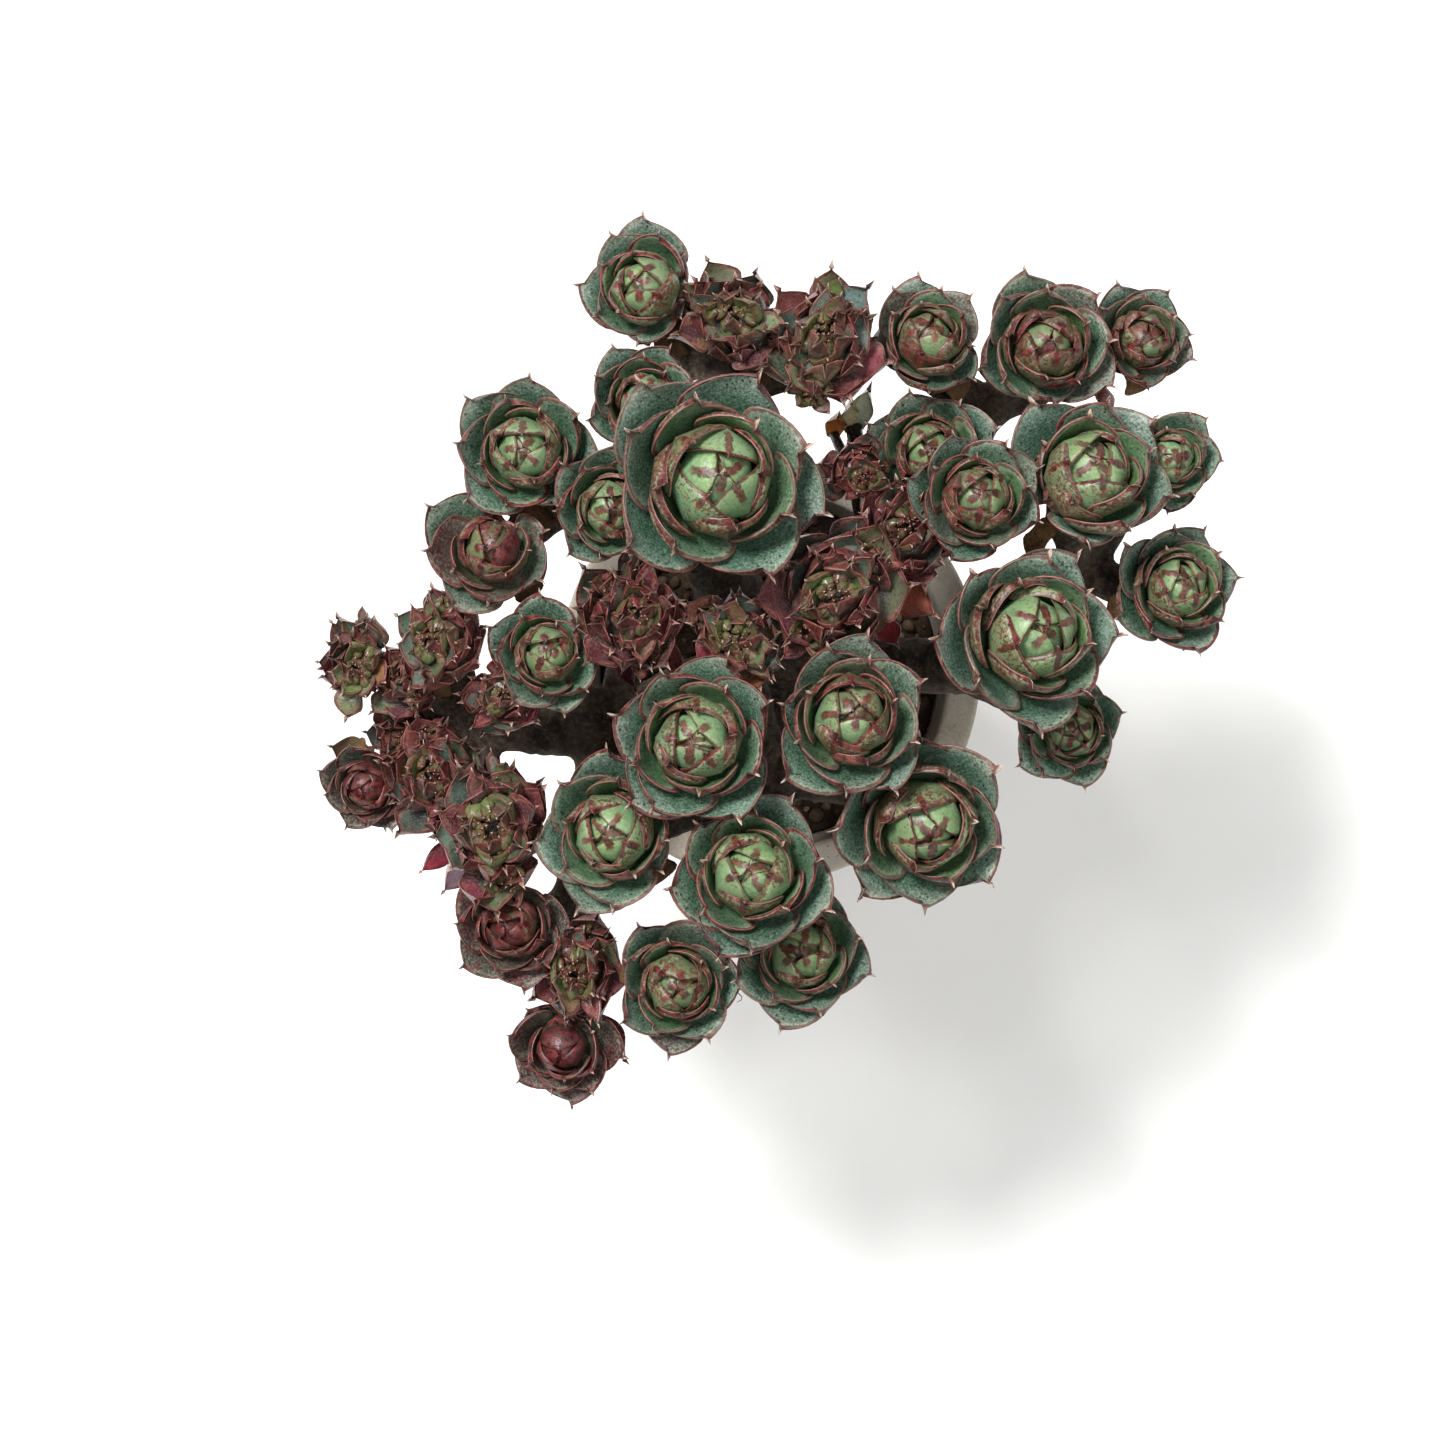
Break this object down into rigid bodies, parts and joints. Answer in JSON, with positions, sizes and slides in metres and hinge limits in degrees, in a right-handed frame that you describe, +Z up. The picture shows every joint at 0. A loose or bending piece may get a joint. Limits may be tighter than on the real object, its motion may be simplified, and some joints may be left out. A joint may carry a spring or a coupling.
{
  "type": "potted crested echeveria longissima",
  "caption": "Crested succulent in a plain clay pot: broad-leaved rosettes and tufts of narrow pointed leaves crowd the branch ends of one gnarled stem that fans out over the rim.",
  "frame": {"origin": "middle of the underside of the pot's foot, below the middle of the part's footprint", "axes": "+Z up; seen from above with +X to the right and +Y away, the heads lie as in the picture"},
  "size_m": [0.128, 0.1228, 0.126],
  "materials": {
    "clay": "unglazed, matte",
    "soil": "rough, dry",
    "bark": "rough, scarred",
    "green_leaf": "waxy, satin",
    "red_leaf": "waxy, satin"
  },
  "bodies": {
    "root": {"pot": "clay", "soil": "soil", "stem": "bark", "rosette_01": "green_leaf", "rosette_02": "green_leaf", "rosette_03": "green_leaf", "rosette_04": "green_leaf", "rosette_05": "green_leaf", "rosette_06": "green_leaf", "rosette_07": "green_leaf", "rosette_08": "green_leaf", "rosette_09": "red_leaf", "rosette_10": "green_leaf", "rosette_11": "green_leaf", "rosette_12": "green_leaf", "rosette_13": "green_leaf", "rosette_14": "green_leaf", "rosette_15": "green_leaf", "rosette_16": "green_leaf", "rosette_17": "green_leaf", "rosette_18": "green_leaf", "rosette_19": "green_leaf", "rosette_20": "green_leaf", "rosette_21": "green_leaf", "rosette_22": "green_leaf", "rosette_23": "green_leaf", "rosette_24": "red_leaf", "rosette_25": "red_leaf", "rosette_26": "green_leaf", "rosette_27": "red_leaf", "crest_01": "red_leaf", "crest_02": "red_leaf", "crest_03": "red_leaf", "crest_04": "red_leaf", "crest_05": "red_leaf", "crest_06": "red_leaf", "crest_07": "red_leaf", "crest_08": "red_leaf", "crest_09": "red_leaf", "crest_10": "red_leaf", "crest_11": "red_leaf", "crest_12": "red_leaf", "crest_13": "red_leaf", "crest_14": "red_leaf", "crest_15": "red_leaf"}
  },
  "joints": []
}
